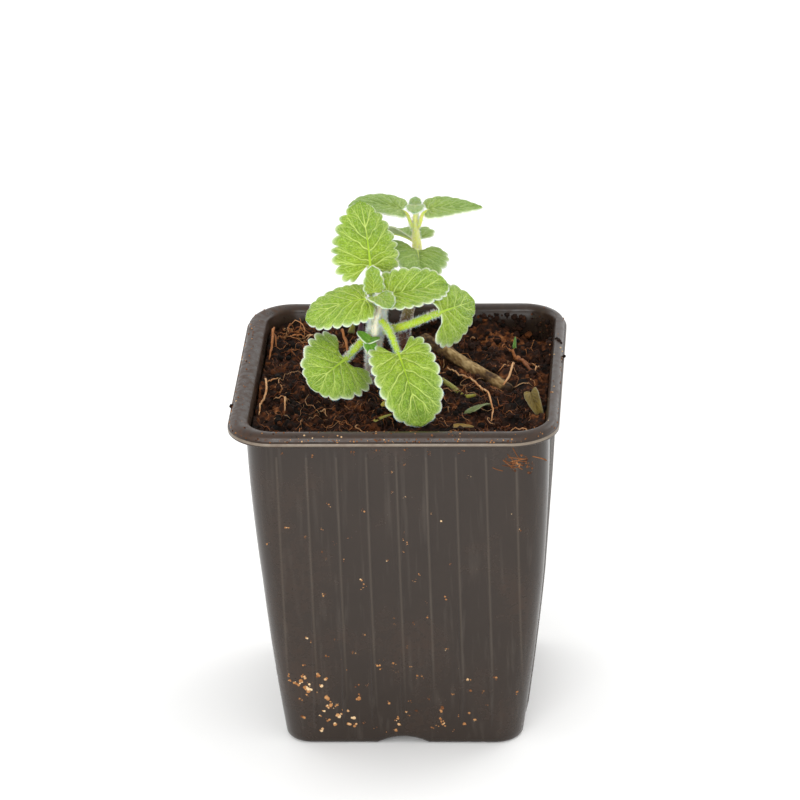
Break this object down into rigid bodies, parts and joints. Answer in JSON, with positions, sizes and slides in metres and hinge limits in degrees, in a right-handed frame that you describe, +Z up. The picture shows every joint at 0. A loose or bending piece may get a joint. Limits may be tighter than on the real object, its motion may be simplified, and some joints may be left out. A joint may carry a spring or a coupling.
{
  "type": "potted catmint",
  "caption": "Young catmint shoots with scalloped, veined leaves and hairy stems, standing in compost in a square, tapered plastic nursery pot with a rolled rim.",
  "frame": {"origin": "middle of the pot's foot, on the surface that it stands on", "axes": "+Z up, +X to the right of the front view, -Y towards the viewer"},
  "size_m": [0.09, 0.09, 0.144],
  "materials": {
    "pot_plastic": "satin",
    "compost_coir": "rough, moist",
    "twig_wood": "dry",
    "stem_skin": "hairy",
    "back_stem_skin": "hairy",
    "leaf_green": "soft, downy",
    "back_leaf_green": "soft, downy"
  },
  "bodies": {
    "root": {"pot": "pot_plastic", "compost": "compost_coir", "old_twig": "twig_wood", "front_stem": "stem_skin", "back_stem": "back_stem_skin", "front_leaf_low_left": "leaf_green", "front_leaf_low_right": "leaf_green", "front_leaf_mid_front": "leaf_green", "front_leaf_mid_back": "leaf_green", "front_leaf_top_left": "leaf_green", "front_leaf_top_right": "leaf_green", "back_leaf_top_left": "back_leaf_green", "back_leaf_top_right": "back_leaf_green", "back_leaf_mid_front": "back_leaf_green", "back_leaf_mid_back": "back_leaf_green", "front_bud_leaf_back": "leaf_green", "front_bud_leaf_front": "leaf_green", "back_bud_leaf_back": "back_leaf_green", "back_bud_leaf_front": "back_leaf_green", "front_axil_sprig": "leaf_green"}
  },
  "joints": []
}
